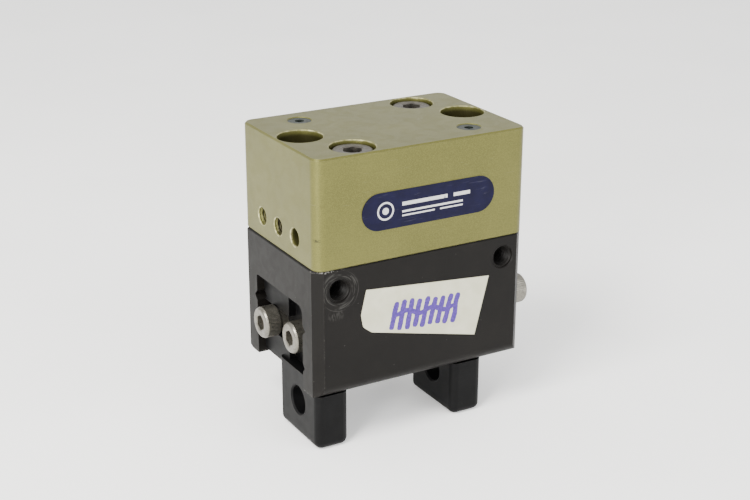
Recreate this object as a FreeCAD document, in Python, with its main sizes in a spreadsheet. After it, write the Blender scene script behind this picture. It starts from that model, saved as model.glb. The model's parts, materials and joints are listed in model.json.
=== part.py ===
"""Two-jaw parallel pneumatic gripper with a wedge hook and cross-roller guides.

Frame: origin at the centre of the top mounting face, +Z up and out of that face,
+X along the jaw travel, -Y towards the face with the name plate. Millimetres.
The gripper is drawn open. The piston rises to close the jaws.
"""
import FreeCAD, Part
import math
import os
import Sketcher
from FreeCAD import Placement, Rotation, Vector

doc = FreeCAD.newDocument("gripper")

# ---------------------------------------------------------------- driving dimensions
# Levels named *_drop are measured down from the seam between the two housings.
DIMENSIONS = {
    "head_length": 40.0, "head_width": 27.0, "head_height": 18.7,
    "head_corner": 1.8, "edge_break": 0.3, "seam_break": 0.2, "rim_break": 0.15,
    "guide_length": 40.3, "guide_height": 22.4, "guide_corner": 1.5,
    "guide_front_foot": 2.0, "guide_rear_foot": 3.0,
    "slot_half": 8.6, "slot_roof_drop": 7.5, "slot_near_corner": 1.5, "slot_far_corner": 0.5,
    "race_drop": 11.5, "race_depth": 0.9, "relief_drop": 18.3, "relief_depth": 0.7,
    "window_half_length": 12.6, "window_half_width": 4.3, "window_corner": 1.5,
    "bore_radius": 9.0, "bore_roof": 3.0, "cover_height": 3.2, "cover_bore_gap": 0.1,
    "ring_groove_low": 0.8, "ring_groove_high": 2.1, "ring_groove_depth": 1.15,
    "seal_groove_low": 1.7, "seal_groove_high": 2.8, "seal_groove_depth": 1.1,
    "bush_seat": 1.4, "bush_thickness": 1.0, "bush_gap": 0.02,
    "o_ring_inset": 0.62, "o_ring_section": 0.58, "rod_seal_section": 0.53,
    "seat_x": 15.7, "seat_radius": 3.8, "seat_depth": 5.2,
    "seat_thread_radius": 2.5, "seat_thread_end": 12.5,
    "tie_x": 11.0, "tie_y": 9.2, "tie_recess_radius": 3.8, "tie_recess_depth": 4.5,
    "tie_hole_radius": 2.15, "tie_thread_radius": 2.02, "tie_thread_depth": 7.0,
    "plug_x": 11.4, "plug_y": 8.7, "plug_radius": 2.0, "plug_length": 4.0,
    "end_clearance_depth": 0.3, "channel_radius": 1.0, "channel_overrun": 0.8,
    "passage_radius": 0.6, "passage_y": 8.2, "passage_stop": 2.0, "passage_overlap": 0.5,
    "upper_passage_z": 4.8,
    "port_y": 6.0, "port_rise": 3.8, "port_radius": 1.5, "vent_radius": 1.55, "port_depth": 6.0,
    "side_x": 15.8, "side_drop": 3.75, "side_radius": 2.0, "side_depth": 8.0,
    "pin_x": 16.2, "pin_y": 9.3, "pin_radius": 1.5, "pin_half": 3.0,
    "piston_radius": 8.93, "piston_height": 6.0, "piston_rest_gap": 0.25, "piston_edge": 0.3,
    "piston_bore": 1.6, "stem_seat": 1.0, "guide_groove_radius": 8.2, "guide_groove_low": 0.55,
    "guide_groove_high": 1.75, "seal_seat_radius": 7.6, "seal_seat_low": 2.35, "seal_seat_high": 3.75,
    "magnet_outer": 7.0, "magnet_inner": 4.4, "magnet_depth": 1.8, "magnet_set_in": 0.1,
    "head_seat_radius": 2.9, "head_seat_depth": 3.2, "piston_seal_radius": 8.3,
    "piston_seal_section": 0.66, "guide_ring_gap": 0.03, "fit_gap": 0.02, "magnet_gap": 0.05,
    "stem_thread_depth": 6.6, "small_thread": 1.5,
    "stem_radius": 3.5, "running_gap": 0.05, "thread_gap": 0.02,
    "overcut": 1.0, "sink": 0.5, "overlap": 0.1, "plug_set_in": 0.15,
    "piston_stroke": 6.0, "jaw_stroke": 4.0,
    "hook_top_drop": 8.6, "hook_foot_drop": 18.4, "hook_foot_half": 3.0,
    "hook_half_width": 3.9, "jaw_clear_reach": 8.0, "tee_neck": 1.2, "tee_head": 1.5,
    "tee_neck_half": 1.6, "tee_head_half": 3.0, "wedge_gap": 0.1,
    "jaw_inner": 4.6, "jaw_outer": 14.4, "jaw_half": 8.3, "jaw_top_drop": 8.3,
    "jaw_foot_drop": 18.4, "jaw_pocket_half": 4.2,
    "plate_face": 17.5, "pad_face": 18.9, "pad_edge_y": 1.1, "plate_foot_drop": 21.6,
    "groove_top_drop": 12.2, "groove_foot_drop": 17.2,
    "screw_y": 4.1, "screw_drop": 14.65, "end_thread_depth": 5.7, "end_clearance": 1.6,
    "washer_radius": 2.3, "washer_bore": 1.55, "proud_seat": 23.4,
    "finger_thickness": 6.0, "finger_front_y": 12.5, "finger_back_y": -1.7, "finger_tip_drop": 32.3,
    "left_finger_outer": 19.6, "right_finger_outer": 12.9, "lip_top_drop": 20.2,
    "shelf_drop": 22.5, "finger_edge": 1.3, "finger_tip_edge": 1.2,
    "grip_hole_y": 5.4, "grip_hole_drop": 25.75, "grip_hole_radius": 2.5, "grip_hole_break": 0.25,
    "roller_diameter": 1.4, "roller_length": 1.34, "roller_pitch": 2.2, "roller_first": 6.5,
    "cage_half_height": 1.6, "cage_thickness": 0.14, "cage_start": 5.4, "cage_length": 8.8,
    "window_width": 1.6, "window_height": 2.2,
    "plate_left": 11.7, "plate_right": 13.5, "plate_low_rise": 5.3, "plate_high_rise": 11.6,
    "plate_thickness": 0.12, "sticker_thickness": 0.1, "sticker_corner": 1.2,
}
ROLLERS_PER_CAGE = 4
PLUG_KEY = 1.5
PLUG_KEY_DEPTH = 0.9
SCREW_LENGTHS = {"tie": 18, "piston": 8, "short_end": 8, "end": 10, "proud_end": 12}
# Corners of the sticker as (x, drop below the seam)
STICKER = ((-10.9, 4.5), (-11.9, 8.8), (-11.5, 11.0), (-9.9, 12.2), (10.4, 17.0), (13.0, 6.6))
# Its corners left of this x and more than this drop below the seam are rounded
STICKER_ROUNDED_LEFT_OF = -9.0
STICKER_ROUNDED_BELOW = 8.0
# Head rim chamfer of a cap screw as a share of its head radius
HEAD_RIM = 0.12
# How close two lengths must be to count as equal
CLOSE = 1e-4
# Least volume that a cut has to take away
LEAST_CUT = 1e-3
SIDES = (("left", -1), ("right", 1))
FACES = (("front", -1), ("rear", 1))

sheet = doc.addObject("Spreadsheet::Sheet", "dims")
for row, (alias, value) in enumerate(DIMENSIONS.items(), start=1):
    sheet.set(f"A{row}", alias)
    sheet.set(f"B{row}", str(value))
    sheet.setAlias(f"B{row}", alias)
doc.recompute()

SUB_PARTS = []
# Words for expressions that occur often
SEAM = "(-dims.head_height)"
SLOPE = "(dims.jaw_stroke / dims.piston_stroke)"


def below_seam(alias):
    """Z of a level that the sheet gives as a drop below the seam."""
    return f"({SEAM} - dims.{alias})"


def flank(drop, extra="0"):
    """Half-width of the wedge hook's flank, plus an extra, at a drop below the seam."""
    return f"(dims.hook_foot_half + {SLOPE} * (dims.hook_foot_drop - ({drop})) + {extra})"


def keep(thing, label):
    """Register a finished sub-part under the name of its file."""
    thing.Label = label
    SUB_PARTS.append(thing)
    return thing


# ---------------------------------------------------------------- PartDesign helpers
def new_body(label):
    return keep(doc.addObject("PartDesign::Body", label), label)


def new_sketch(body, role, offset=None):
    """A sketch on one of the body's own origin planes, moved along its normal by offset."""
    plane = next(f for f in body.Origin.OriginFeatures if f.Role == role)
    sketch = body.newObject("Sketcher::SketchObject", body.Name + "_sketch")
    sketch.AttachmentSupport = [(plane, "")]
    sketch.MapMode = "FlatFace"
    if offset is not None:
        sketch.setExpression("AttachmentOffset.Base.z", offset)
    return sketch


def bind(sketch, kind, geometry, point, value, expression):
    index = sketch.addConstraint(Sketcher.Constraint(kind, -1, 1, geometry, point, value))
    sketch.setExpression(f"Constraints[{index}]", expression)


def add_polygon(sketch, corners):
    """A closed polygon whose corners are pairs of expressions in the sketch's axes."""
    count = len(corners)
    first = sketch.GeometryCount
    guess = [Vector(10 * math.cos(2 * math.pi * i / count), 10 * math.sin(2 * math.pi * i / count), 0)
             for i in range(count)]
    for i in range(count):
        sketch.addGeometry(Part.LineSegment(guess[i], guess[(i + 1) % count]))
    for i in range(count):
        sketch.addConstraint(Sketcher.Constraint("Coincident", first + i, 2, first + (i + 1) % count, 1))
    for i, (across, up) in enumerate(corners):
        bind(sketch, "DistanceX", first + i, 1, guess[i].x, across)
        bind(sketch, "DistanceY", first + i, 1, guess[i].y, up)


def add_circle(sketch, across, up, radius):
    index = sketch.addGeometry(Part.Circle(Vector(1, 1, 0), Vector(0, 0, 1), 1))
    bind(sketch, "DistanceX", index, 3, 1, across)
    bind(sketch, "DistanceY", index, 3, 1, up)
    constraint = sketch.addConstraint(Sketcher.Constraint("Radius", index, 1))
    sketch.setExpression(f"Constraints[{constraint}]", radius)


def add_rectangle(sketch, left, right, low, high):
    add_polygon(sketch, [(left, low), (right, low), (right, high), (left, high)])


def pad(body, sketch, length, symmetric=False, backwards=False):
    feature = body.newObject("PartDesign::Pad", body.Name + "_pad")
    feature.Profile = sketch
    feature.SideType = "Symmetric" if symmetric else "One side"
    feature.Reversed = backwards
    feature.setExpression("Length", length)
    body.Tip = feature
    doc.recompute()


def pocket(body, sketch, length, symmetric=False, backwards=False):
    """A pocket that must take material away, whichever way it points."""
    before = body.Shape.Volume
    feature = body.newObject("PartDesign::Pocket", body.Name + "_pocket")
    feature.Profile = sketch
    feature.SideType = "Symmetric" if symmetric else "One side"
    feature.Reversed = backwards
    feature.setExpression("Length", length)
    body.Tip = feature
    doc.recompute()
    if body.Shape.Volume > before - LEAST_CUT:
        raise RuntimeError(f"{feature.Label} cuts nothing")


def revolve(body, profile):
    """A ring or disc about Z from a polygon of (radius, z) expressions."""
    sketch = new_sketch(body, "XZ_Plane")
    add_polygon(sketch, profile)
    feature = body.newObject("PartDesign::Revolution", body.Name + "_revolution")
    feature.Profile = sketch
    feature.ReferenceAxis = (sketch, ["V_Axis"])
    feature.Angle = 360
    body.Tip = feature
    doc.recompute()


def drill(body, role, offset, centres, radius, depth, backwards=False):
    """Round holes of one size, from a plane parallel to an origin plane."""
    sketch = new_sketch(body, role, offset)
    for across, up in centres:
        add_circle(sketch, across, up, radius)
    pocket(body, sketch, depth, backwards=backwards)


def dress(body, kind, size, wanted):
    """Fillet or Chamfer on the edges that the wanted test picks."""
    edges = [f"Edge{i}" for i, edge in enumerate(body.Shape.Edges, start=1) if wanted(edge)]
    if not edges:
        raise RuntimeError(f"no edge to dress on {body.Label}")
    base = body.Tip
    feature = body.newObject(f"PartDesign::{kind}", body.Name + "_" + kind)
    feature.Base = (base, edges)
    feature.setExpression("Radius" if kind == "Fillet" else "Size", size)
    body.Tip = feature
    doc.recompute()
    if "Invalid" in feature.State:
        raise RuntimeError(f"{kind} failed on {body.Label}")


def spans(edge):
    """Lengths of an edge's box along X, Y and Z."""
    box = edge.BoundBox
    return box.XLength, box.YLength, box.ZLength


def is_upright(edge):
    across, along, up = spans(edge)
    return up > CLOSE and across < CLOSE and along < CLOSE


def is_rim(edge, axis, level, radii=None):
    """True for a circle across an axis at a level, with one of the radii if they are given."""
    if edge.Degenerated or edge.Curve.TypeId != "Part::GeomCircle":
        return False
    if abs(getattr(edge.Curve.Center, axis) - level) > CLOSE or spans(edge)["xyz".index(axis)] > CLOSE:
        return False
    return radii is None or any(abs(edge.Curve.Radius - radius) < CLOSE for radius in radii)


# ---------------------------------------------------------------- Part helpers
def place(thing, x="0", y="0", z="0", rotation=None):
    if rotation is not None:
        thing.Placement = Placement(Vector(0, 0, 0), rotation)
    for axis, expression in zip("xyz", (x, y, z)):
        thing.setExpression(f"Placement.Base.{axis}", expression)
    return thing


def cylinder(name, radius, height, x="0", y="0", z="0", rotation=None):
    thing = doc.addObject("Part::Cylinder", name)
    thing.setExpression("Radius", radius)
    thing.setExpression("Height", height)
    return place(thing, x, y, z, rotation)


def box(name, size, corner):
    thing = doc.addObject("Part::Box", name)
    for field, expression in zip(("Length", "Width", "Height"), size):
        thing.setExpression(field, expression)
    return place(thing, *corner)


def joined(name, pieces):
    thing = doc.addObject("Part::MultiFuse", name)
    thing.Shapes = pieces
    thing.Refine = True
    return thing


def cut(name, base, tool):
    thing = doc.addObject("Part::Cut", name)
    thing.Base = base
    thing.Tool = tool
    return thing


def ring(label, radius, section, z):
    thing = doc.addObject("Part::Torus", label)
    thing.setExpression("Radius1", radius)
    thing.setExpression("Radius2", section)
    keep(thing, label)
    return place(thing, z=z)


# Metric socket head cap screws: shank radius, head radius, head height, key size, key depth
CAP_SCREWS = {"small": (1.5, 2.75, 3.0, 2.5, 1.6), "large": (2.0, 3.5, 4.0, 3.0, 2.2)}


def cap_screw(label, size, length, x, y, z, rotation=None):
    """A cap screw with its shank along its own -Z from the underside of the head at 0."""
    shank_radius, head_radius, head_height, key, key_depth = CAP_SCREWS[size]
    rim = HEAD_RIM * head_radius
    shank = cylinder(label + "_shank", str(shank_radius), str(length), z=str(-length))
    head = cylinder(label + "_head", str(head_radius), str(head_height - rim))
    crown = doc.addObject("Part::Cone", label + "_crown")
    crown.Radius1 = head_radius
    crown.Radius2 = head_radius - rim
    crown.Height = rim
    place(crown, z=str(head_height - rim))
    socket = doc.addObject("Part::Prism", label + "_socket")
    socket.Polygon = 6
    socket.Circumradius = key / math.sqrt(3)
    socket.Height = key_depth
    place(socket, z=str(head_height - key_depth))
    solid = joined(label + "_solid", [shank, head, crown])
    return place(keep(cut(label, solid, socket), label), x, y, z, rotation)


# ---------------------------------------------------------------- cylinder housing
def cylinder_housing():
    body = new_body("cylinder_housing")
    sketch = new_sketch(body, "XY_Plane")
    add_rectangle(sketch, "-dims.head_length / 2", "dims.head_length / 2",
                  "-dims.head_width / 2", "dims.head_width / 2")
    pad(body, sketch, "dims.head_height", backwards=True)
    dress(body, "Fillet", "dims.head_corner", is_upright)
    dress(body, "Chamfer", "dims.edge_break", lambda e: abs(e.BoundBox.ZMin) < CLOSE)
    seam = -sheet.head_height
    dress(body, "Chamfer", "dims.seam_break", lambda e: abs(e.BoundBox.ZMax - seam) < CLOSE)

    drill(body, "XY_Plane", SEAM, [("0", "0")], "dims.bore_radius",
          "dims.head_height - dims.bore_roof", backwards=True)
    seats = [("-dims.seat_x", "0"), ("dims.seat_x", "0")]
    drill(body, "XY_Plane", None, seats, "dims.seat_radius", "dims.seat_depth")
    drill(body, "XY_Plane", None, seats, "dims.seat_thread_radius", "dims.seat_thread_end")
    ties = [("-dims.tie_x", "-dims.tie_y"), ("dims.tie_x", "dims.tie_y")]
    drill(body, "XY_Plane", None, ties, "dims.tie_recess_radius", "dims.tie_recess_depth")
    drill(body, "XY_Plane", None, ties, "dims.tie_hole_radius", "dims.head_height + dims.overcut")
    plugs = [("-dims.plug_x", "dims.plug_y"), ("dims.plug_x", "-dims.plug_y")]
    plug_hole = "dims.plug_radius + dims.thread_gap"
    drill(body, "XY_Plane", None, plugs, plug_hole, "dims.plug_length + dims.end_clearance_depth")
    port_z = f"({SEAM} + dims.port_rise)"
    drill(body, "XY_Plane", None, plugs, "dims.channel_radius", f"dims.channel_overrun - {port_z}")

    left_end = "-dims.head_length / 2"
    ports = [("dims.port_y", port_z), ("0", port_z)]
    drill(body, "YZ_Plane", left_end, ports, "dims.port_radius", "dims.port_depth", backwards=True)
    drill(body, "YZ_Plane", left_end, [("-dims.port_y", port_z)], "dims.vent_radius",
          "dims.port_depth", backwards=True)
    drill(body, "YZ_Plane", left_end, [("0", port_z)], "dims.passage_radius",
          "dims.head_length / 2 - dims.bore_radius + 2 * dims.passage_overlap", backwards=True)
    drill(body, "YZ_Plane", left_end, [("dims.port_y", port_z)], "dims.passage_radius",
          "dims.head_length / 2 - dims.plug_x", backwards=True)
    drill(body, "XZ_Plane", "-dims.plug_y", [("-dims.plug_x", port_z)], "dims.passage_radius",
          "dims.plug_y - dims.port_y + dims.passage_overlap", backwards=True)
    drill(body, "YZ_Plane", "-dims.plug_x", [("dims.passage_y", "-dims.upper_passage_z")],
          "dims.passage_radius", "dims.plug_x - dims.passage_stop", backwards=True)
    drill(body, "YZ_Plane", "dims.plug_x", [("-dims.passage_y", port_z)],
          "dims.passage_radius", "dims.plug_x - dims.passage_stop")
    pins = [("-dims.pin_x", "dims.pin_y"), ("dims.pin_x", "dims.pin_y")]
    drill(body, "XY_Plane", SEAM, pins, "dims.pin_radius + dims.thread_gap",
          "dims.pin_half + dims.end_clearance_depth", backwards=True)
    rims = (sheet.seat_radius, sheet.tie_recess_radius, sheet.plug_radius + sheet.thread_gap)
    dress(body, "Chamfer", "dims.rim_break", lambda e: is_rim(e, "z", 0, rims))
    dress(body, "Chamfer", "dims.rim_break", lambda e: is_rim(e, "x", -sheet.head_length / 2))


# ---------------------------------------------------------------- guide housing
def v_groove(side, level, depth, face, way=1):
    """Three corners of a 90 degree groove at a level, read from low z to high z."""
    return [(f"{side} * ({face})", f"{level} - {depth}"),
            (f"{side} * ({face} + {way} * {depth})", level),
            (f"{side} * ({face})", f"{level} + {depth}")]


def guide_housing():
    body = new_body("guide_housing")
    foot = f"({SEAM} - dims.guide_height)"
    roof = below_seam("slot_roof_drop")
    race = below_seam("race_drop")
    relief = below_seam("relief_drop")
    half = "dims.head_width / 2"
    wall = "dims.slot_half"
    outline = [(f"-{half}", SEAM), (f"-{half}", foot), (f"-{wall}", foot)]
    outline += v_groove(-1, relief, "dims.relief_depth", wall)
    outline += v_groove(-1, race, "dims.race_depth", wall)
    outline += [(f"-{wall}", roof), (wall, roof)]
    outline += reversed(v_groove(1, race, "dims.race_depth", wall))
    outline += reversed(v_groove(1, relief, "dims.relief_depth", wall))
    outline += [(wall, foot), (half, foot), (half, SEAM)]
    sketch = new_sketch(body, "YZ_Plane")
    add_polygon(sketch, outline)
    pad(body, sketch, "dims.guide_length", symmetric=True)

    foot_z = -sheet.head_height - sheet.guide_height
    roof_z = -sheet.head_height - sheet.slot_roof_drop
    for size, sign in (("guide_front_foot", -1), ("guide_rear_foot", 1)):
        dress(body, "Fillet", f"dims.{size}",
              lambda e: spans(e)[0] > 1 and abs(e.BoundBox.ZMax - foot_z) < CLOSE
              and abs(e.BoundBox.YMax - sign * sheet.head_width / 2) < CLOSE)
    for size, sign in (("slot_near_corner", -1), ("slot_far_corner", 1)):
        dress(body, "Fillet", f"dims.{size}",
              lambda e: spans(e)[0] > 1 and abs(e.BoundBox.ZMax - roof_z) < CLOSE
              and abs(e.BoundBox.YMax - sign * sheet.slot_half) < CLOSE)

    corners = new_sketch(body, "XY_Plane", SEAM)
    for x_sign in (-1, 1):
        for y_sign in (-1, 1):
            x = f"{x_sign} * (dims.guide_length / 2 + dims.overcut)"
            y = f"{y_sign} * (dims.head_width / 2 + dims.overcut)"
            reach = "(dims.guide_corner + 2 * dims.overcut)"
            add_polygon(corners, [(x, y), (f"{x} - {x_sign} * {reach}", y),
                                  (x, f"{y} - {y_sign} * {reach}")])
    pocket(body, corners, "dims.guide_height + dims.overcut")

    window = new_sketch(body, "XY_Plane", SEAM)
    add_rectangle(window, "-dims.window_half_length", "dims.window_half_length",
                  "-dims.window_half_width", "dims.window_half_width")
    pocket(body, window, "dims.slot_roof_drop + dims.overcut")
    dress(body, "Fillet", "dims.window_corner",
          lambda e: is_upright(e) and abs(abs(e.BoundBox.YMax) - sheet.window_half_width) < CLOSE
          and abs(abs(e.BoundBox.XMax) - sheet.window_half_length) < CLOSE)
    ties = [("-dims.tie_x", "-dims.tie_y"), ("dims.tie_x", "dims.tie_y")]
    drill(body, "XY_Plane", SEAM, ties, "dims.tie_thread_radius", "dims.tie_thread_depth")
    pins = [("-dims.pin_x", "dims.pin_y"), ("dims.pin_x", "dims.pin_y")]
    drill(body, "XY_Plane", SEAM, pins, "dims.pin_radius + dims.thread_gap",
          "dims.pin_half + dims.end_clearance_depth")
    sides = [("-dims.side_x", below_seam("side_drop")), ("dims.side_x", below_seam("side_drop"))]
    drill(body, "XZ_Plane", half, sides, "dims.side_radius", "dims.side_depth")
    dress(body, "Chamfer", "dims.rim_break", lambda e: is_rim(e, "y", -sheet.head_width / 2))
    seam_z = -sheet.head_height
    end_x = sheet.guide_length / 2 - sheet.guide_corner
    side_y = sheet.head_width / 2 - sheet.guide_corner
    dress(body, "Chamfer", "dims.seam_break",
          lambda e: abs(e.BoundBox.ZMin - seam_z) < CLOSE and e.Curve.TypeId == "Part::GeomLine"
          and (abs(e.BoundBox.Center.x) > end_x or abs(e.BoundBox.Center.y) > side_y))


# ---------------------------------------------------------------- cylinder inner parts
def inner_cylinder_parts():
    """Cover, bush and seals that close the bore, in the root body."""
    top = f"({SEAM} + dims.cover_height)"
    cover = new_body("cylinder_cover")
    fit = "dims.bore_radius - dims.running_gap"
    hole = "dims.stem_radius + dims.cover_bore_gap"
    ring_low, ring_high = f"{SEAM} + dims.ring_groove_low", f"{SEAM} + dims.ring_groove_high"
    seal_low, seal_high = f"{SEAM} + dims.seal_groove_low", f"{SEAM} + dims.seal_groove_high"
    bush_top = f"{SEAM} + dims.bush_seat"
    revolve(cover, [
        (fit, SEAM), (fit, ring_low), (f"{fit} - dims.ring_groove_depth", ring_low),
        (f"{fit} - dims.ring_groove_depth", ring_high), (fit, ring_high), (fit, top), (hole, top),
        (hole, seal_high), (f"{hole} + dims.seal_groove_depth", seal_high),
        (f"{hole} + dims.seal_groove_depth", seal_low), (hole, seal_low), (hole, bush_top),
        (f"{hole} + dims.bush_thickness", bush_top), (f"{hole} + dims.bush_thickness", SEAM)])
    ring("cover_o_ring", "dims.bore_radius - dims.o_ring_inset", "dims.o_ring_section",
         f"({ring_low} + {ring_high}) / 2")
    ring("rod_seal", "dims.stem_radius + dims.o_ring_inset", "dims.rod_seal_section",
         f"({seal_low} + {seal_high}) / 2")
    bush = new_body("rod_bush")
    inside = "dims.stem_radius + dims.running_gap"
    outside = f"{hole} + dims.bush_thickness - dims.bush_gap"
    bush_end = f"{bush_top} - dims.bush_gap"
    revolve(bush, [(inside, SEAM), (outside, SEAM), (outside, bush_end), (inside, bush_end)])


def piston_parts():
    """Piston, its rings, magnet and screw, and the wedge hook with its stem."""
    foot = f"({SEAM} + dims.cover_height + dims.piston_rest_gap)"
    top = f"({foot} + dims.piston_height)"
    edge = "dims.piston_radius"
    piston = new_body("piston")
    seat = f"{foot} + dims.stem_seat"
    stem = "dims.stem_radius + dims.fit_gap"
    guide_low, guide_high = f"{foot} + dims.guide_groove_low", f"{foot} + dims.guide_groove_high"
    seal_low, seal_high = f"{foot} + dims.seal_seat_low", f"{foot} + dims.seal_seat_high"
    magnet_floor, head_floor = f"{top} - dims.magnet_depth", f"{top} - dims.head_seat_depth"
    revolve(piston, [
        ("dims.piston_bore", seat), (stem, seat), (stem, foot), (f"{edge} - dims.piston_edge", foot),
        (edge, f"{foot} + dims.piston_edge"), (edge, guide_low), ("dims.guide_groove_radius", guide_low),
        ("dims.guide_groove_radius", guide_high), (edge, guide_high), (edge, seal_low),
        ("dims.seal_seat_radius", seal_low), ("dims.seal_seat_radius", seal_high), (edge, seal_high),
        (edge, f"{top} - dims.piston_edge"), (f"{edge} - dims.piston_edge", top), ("dims.magnet_outer", top),
        ("dims.magnet_outer", magnet_floor), ("dims.magnet_inner", magnet_floor), ("dims.magnet_inner", top),
        ("dims.head_seat_radius", top), ("dims.head_seat_radius", head_floor),
        ("dims.piston_bore", head_floor)])
    ring("piston_seal", "dims.piston_seal_radius", "dims.piston_seal_section",
         f"({seal_low} + {seal_high}) / 2")
    guide = new_body("piston_guide_ring")
    ring_in, ring_out = "dims.guide_groove_radius + dims.fit_gap", "dims.bore_radius - dims.guide_ring_gap"
    ring_low, ring_high = f"{guide_low} + dims.guide_ring_gap", f"{guide_high} - dims.guide_ring_gap"
    revolve(guide, [(ring_in, ring_low), (ring_out, ring_low), (ring_out, ring_high), (ring_in, ring_high)])
    magnet = new_body("piston_magnet")
    magnet_in, magnet_out = "dims.magnet_inner + dims.magnet_gap", "dims.magnet_outer - dims.magnet_gap"
    magnet_low, magnet_top = f"{magnet_floor} + dims.fit_gap", f"{top} - dims.magnet_set_in"
    revolve(magnet, [(magnet_in, magnet_low), (magnet_out, magnet_low), (magnet_out, magnet_top),
                     (magnet_in, magnet_top)])
    cap_screw("piston_screw", "small", SCREW_LENGTHS["piston"], "0", "0", head_floor)

    hook = new_body("wedge_hook")
    low, high = "dims.hook_foot_drop", "dims.hook_top_drop"
    z_low, z_high = below_seam("hook_foot_drop"), below_seam("hook_top_drop")
    layers = (("0", "2 * dims.hook_half_width"), ("dims.tee_neck + dims.overlap", "2 * dims.tee_neck_half"))
    for extra, thickness in layers:
        sketch = new_sketch(hook, "XZ_Plane")
        add_polygon(sketch, [(f"-{flank(low, extra)}", z_low), (flank(low, extra), z_low),
                             (flank(high, extra), z_high), (f"-{flank(high, extra)}", z_high)])
        pad(hook, sketch, thickness, symmetric=True)
    near, far = "dims.tee_neck", "dims.tee_neck + dims.tee_head"
    heads = new_sketch(hook, "XZ_Plane")
    for side in (-1, 1):
        add_polygon(heads, [(f"{side} * {flank(low, near)}", z_low),
                            (f"{side} * {flank(low, far)}", z_low),
                            (f"{side} * {flank(high, far)}", z_high),
                            (f"{side} * {flank(high, near)}", z_high)])
    pad(hook, heads, "2 * dims.tee_head_half", symmetric=True)
    rod = new_sketch(hook, "XY_Plane", z_high)
    add_circle(rod, "0", "0", "dims.stem_radius")
    pad(hook, rod, f"{seat} - {z_high} - dims.fit_gap")
    drill(hook, "XY_Plane", seat, [("0", "0")], "dims.small_thread + dims.thread_gap",
          "dims.stem_thread_depth")


# ---------------------------------------------------------------- jaws
def jaw_section(foot_drop):
    """Corners of a jaw's section across the travel, with both roller grooves."""
    foot = below_seam(foot_drop)
    top = below_seam("jaw_top_drop")
    race = below_seam("race_drop")
    side = "dims.jaw_half"
    outline = [(f"-{side}", top)]
    outline += reversed(v_groove(-1, race, "dims.race_depth", side, way=-1))
    outline += [(f"-{side}", foot), (side, foot)]
    outline += v_groove(1, race, "dims.race_depth", side, way=-1)
    outline += [(side, top)]
    return outline


def base_jaw(name, sign):
    body = new_body(name + "_base_jaw")
    start = f"{sign} * dims.jaw_inner"
    sketch = new_sketch(body, "YZ_Plane", start)
    add_polygon(sketch, jaw_section("jaw_foot_drop"))
    pad(body, sketch, "dims.jaw_outer - dims.jaw_inner - dims.fit_gap / 2", backwards=sign < 0)

    over, under = "dims.jaw_top_drop - dims.overcut", "dims.jaw_foot_drop + dims.overcut"
    z_over, z_under = f"({SEAM} - ({over}))", f"({SEAM} - ({under}))"
    gap = "dims.wedge_gap"
    layers = (("-dims.jaw_clear_reach", gap, "2 * dims.jaw_pocket_half"),
              ("-dims.overcut", f"dims.tee_neck + {gap} + dims.overlap",
               "2 * (dims.tee_neck_half + dims.running_gap)"),
              (f"dims.tee_neck - {gap}", f"dims.tee_neck + dims.tee_head + {gap}",
               "2 * (dims.tee_head_half + dims.running_gap)"))
    for inner, outer, width in layers:
        slot = new_sketch(body, "XZ_Plane")
        add_polygon(slot, [(f"{sign} * {flank(under, inner)}", z_under),
                           (f"{sign} * {flank(under, outer)}", z_under),
                           (f"{sign} * {flank(over, outer)}", z_over),
                           (f"{sign} * {flank(over, inner)}", z_over)])
        pocket(body, slot, width, symmetric=True)
    centres = [("-dims.screw_y", below_seam("screw_drop")), ("dims.screw_y", below_seam("screw_drop"))]
    drill(body, "YZ_Plane", f"{sign} * dims.jaw_outer", centres, "dims.small_thread + dims.thread_gap",
          "dims.end_thread_depth", backwards=sign < 0)


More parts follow.
